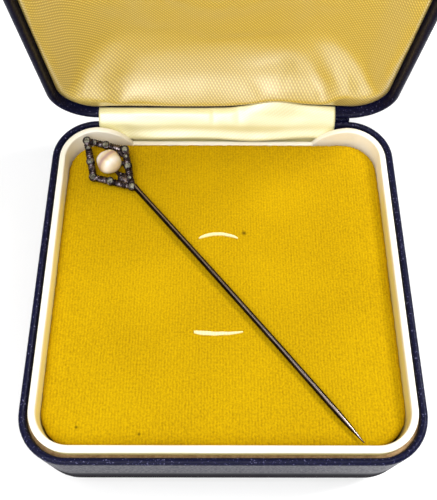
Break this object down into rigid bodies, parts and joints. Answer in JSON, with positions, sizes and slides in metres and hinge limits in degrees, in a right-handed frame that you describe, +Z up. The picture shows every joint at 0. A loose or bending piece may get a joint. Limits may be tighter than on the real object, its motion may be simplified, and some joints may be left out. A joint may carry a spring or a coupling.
{
  "type": "stick pin in an open hinged presentation box",
  "caption": "Stick pin with an open lozenge head set with small stones round a pearl, lying on a velvet pad in an open hinged leatherette box.",
  "frame": {"origin": "centre of the box's flat underside, on the surface it stands on", "axes": "+Z up, +Y from the front to the hinge at the back, +X to the right seen from the front"},
  "size_m": [0.066, 0.0793, 0.0868],
  "materials": {
    "leatherette": "fine grained dark blue leatherette, semi gloss",
    "collar_card": "smooth ivory, semi gloss",
    "velvet": "short mustard yellow velvet pile",
    "slit_tape": "cream woven tape",
    "hinge_satin": "cream satin",
    "lining_satin": "gold cream twilled satin",
    "tarnished_silver": "blackened silver and dark steel, bright on the edges",
    "pearl": "cream and rose nacre",
    "paste_stone": "small cut clear stones, foiled behind"
  },
  "bodies": {
    "box": {"base_shell": "leatherette", "collar": "collar_card", "pad": "velvet", "slit_tape_back": "slit_tape", "slit_tape_front": "slit_tape", "hinge_cloth_base": "hinge_satin", "hinge_fold": "leatherette", "pin_mount": "tarnished_silver", "pearl": "pearl", "stone_1": "paste_stone", "stone_2": "paste_stone", "stone_3": "paste_stone", "stone_4": "paste_stone", "stone_5": "paste_stone", "stone_6": "paste_stone", "stone_7": "paste_stone", "stone_8": "paste_stone", "stone_9": "paste_stone", "stone_10": "paste_stone", "stone_11": "paste_stone", "stone_12": "paste_stone"},
    "lid": {"lid_shell": "leatherette", "lid_lining": "lining_satin", "hinge_cloth_lid": "hinge_satin"}
  },
  "joints": [
    {"name": "lid_hinge", "type": "hinge", "parent": "box", "child": "lid", "pos_m": [0, 0.03305, 0.0201], "axis": [1, 0, 0], "range_deg": [0, 81.3]}
  ]
}
